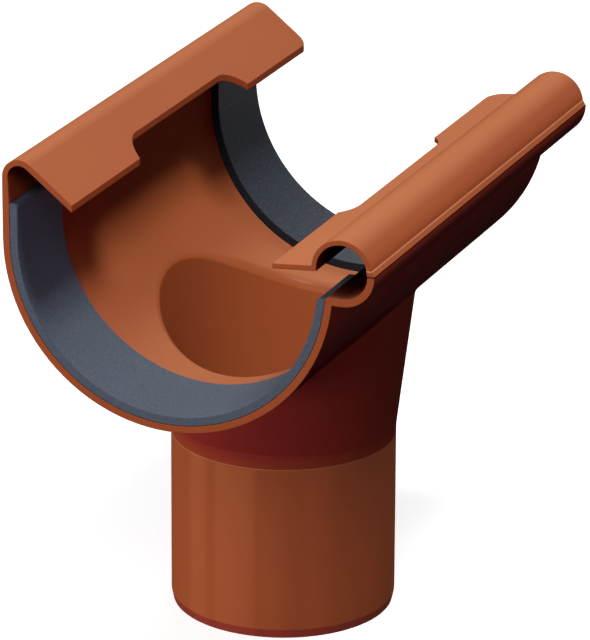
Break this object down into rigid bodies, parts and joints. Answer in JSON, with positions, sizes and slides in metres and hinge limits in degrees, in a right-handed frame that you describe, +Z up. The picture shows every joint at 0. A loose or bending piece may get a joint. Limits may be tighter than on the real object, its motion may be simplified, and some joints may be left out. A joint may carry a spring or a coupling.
{
  "type": "gutter outlet",
  "caption": "Half-round plastic gutter outlet with rear snap hook, front bead tube, rubber end seals and a round spigot for the downpipe.",
  "frame": {"origin": "on the axis of the outlet bore, in the plane of the spigot's lower end, on which the part stands", "axes": "+X from the wall side (hook) to the front of the gutter (bead), +Y along the gutter, +Z up the bore"},
  "size_m": [0.152, 0.222, 0.2108],
  "materials": {
    "pvc": "satin",
    "seal_rubber": "matte"
  },
  "bodies": {
    "root": {"outlet_body": "pvc", "near_seal": "seal_rubber", "far_seal": "seal_rubber"}
  },
  "joints": []
}
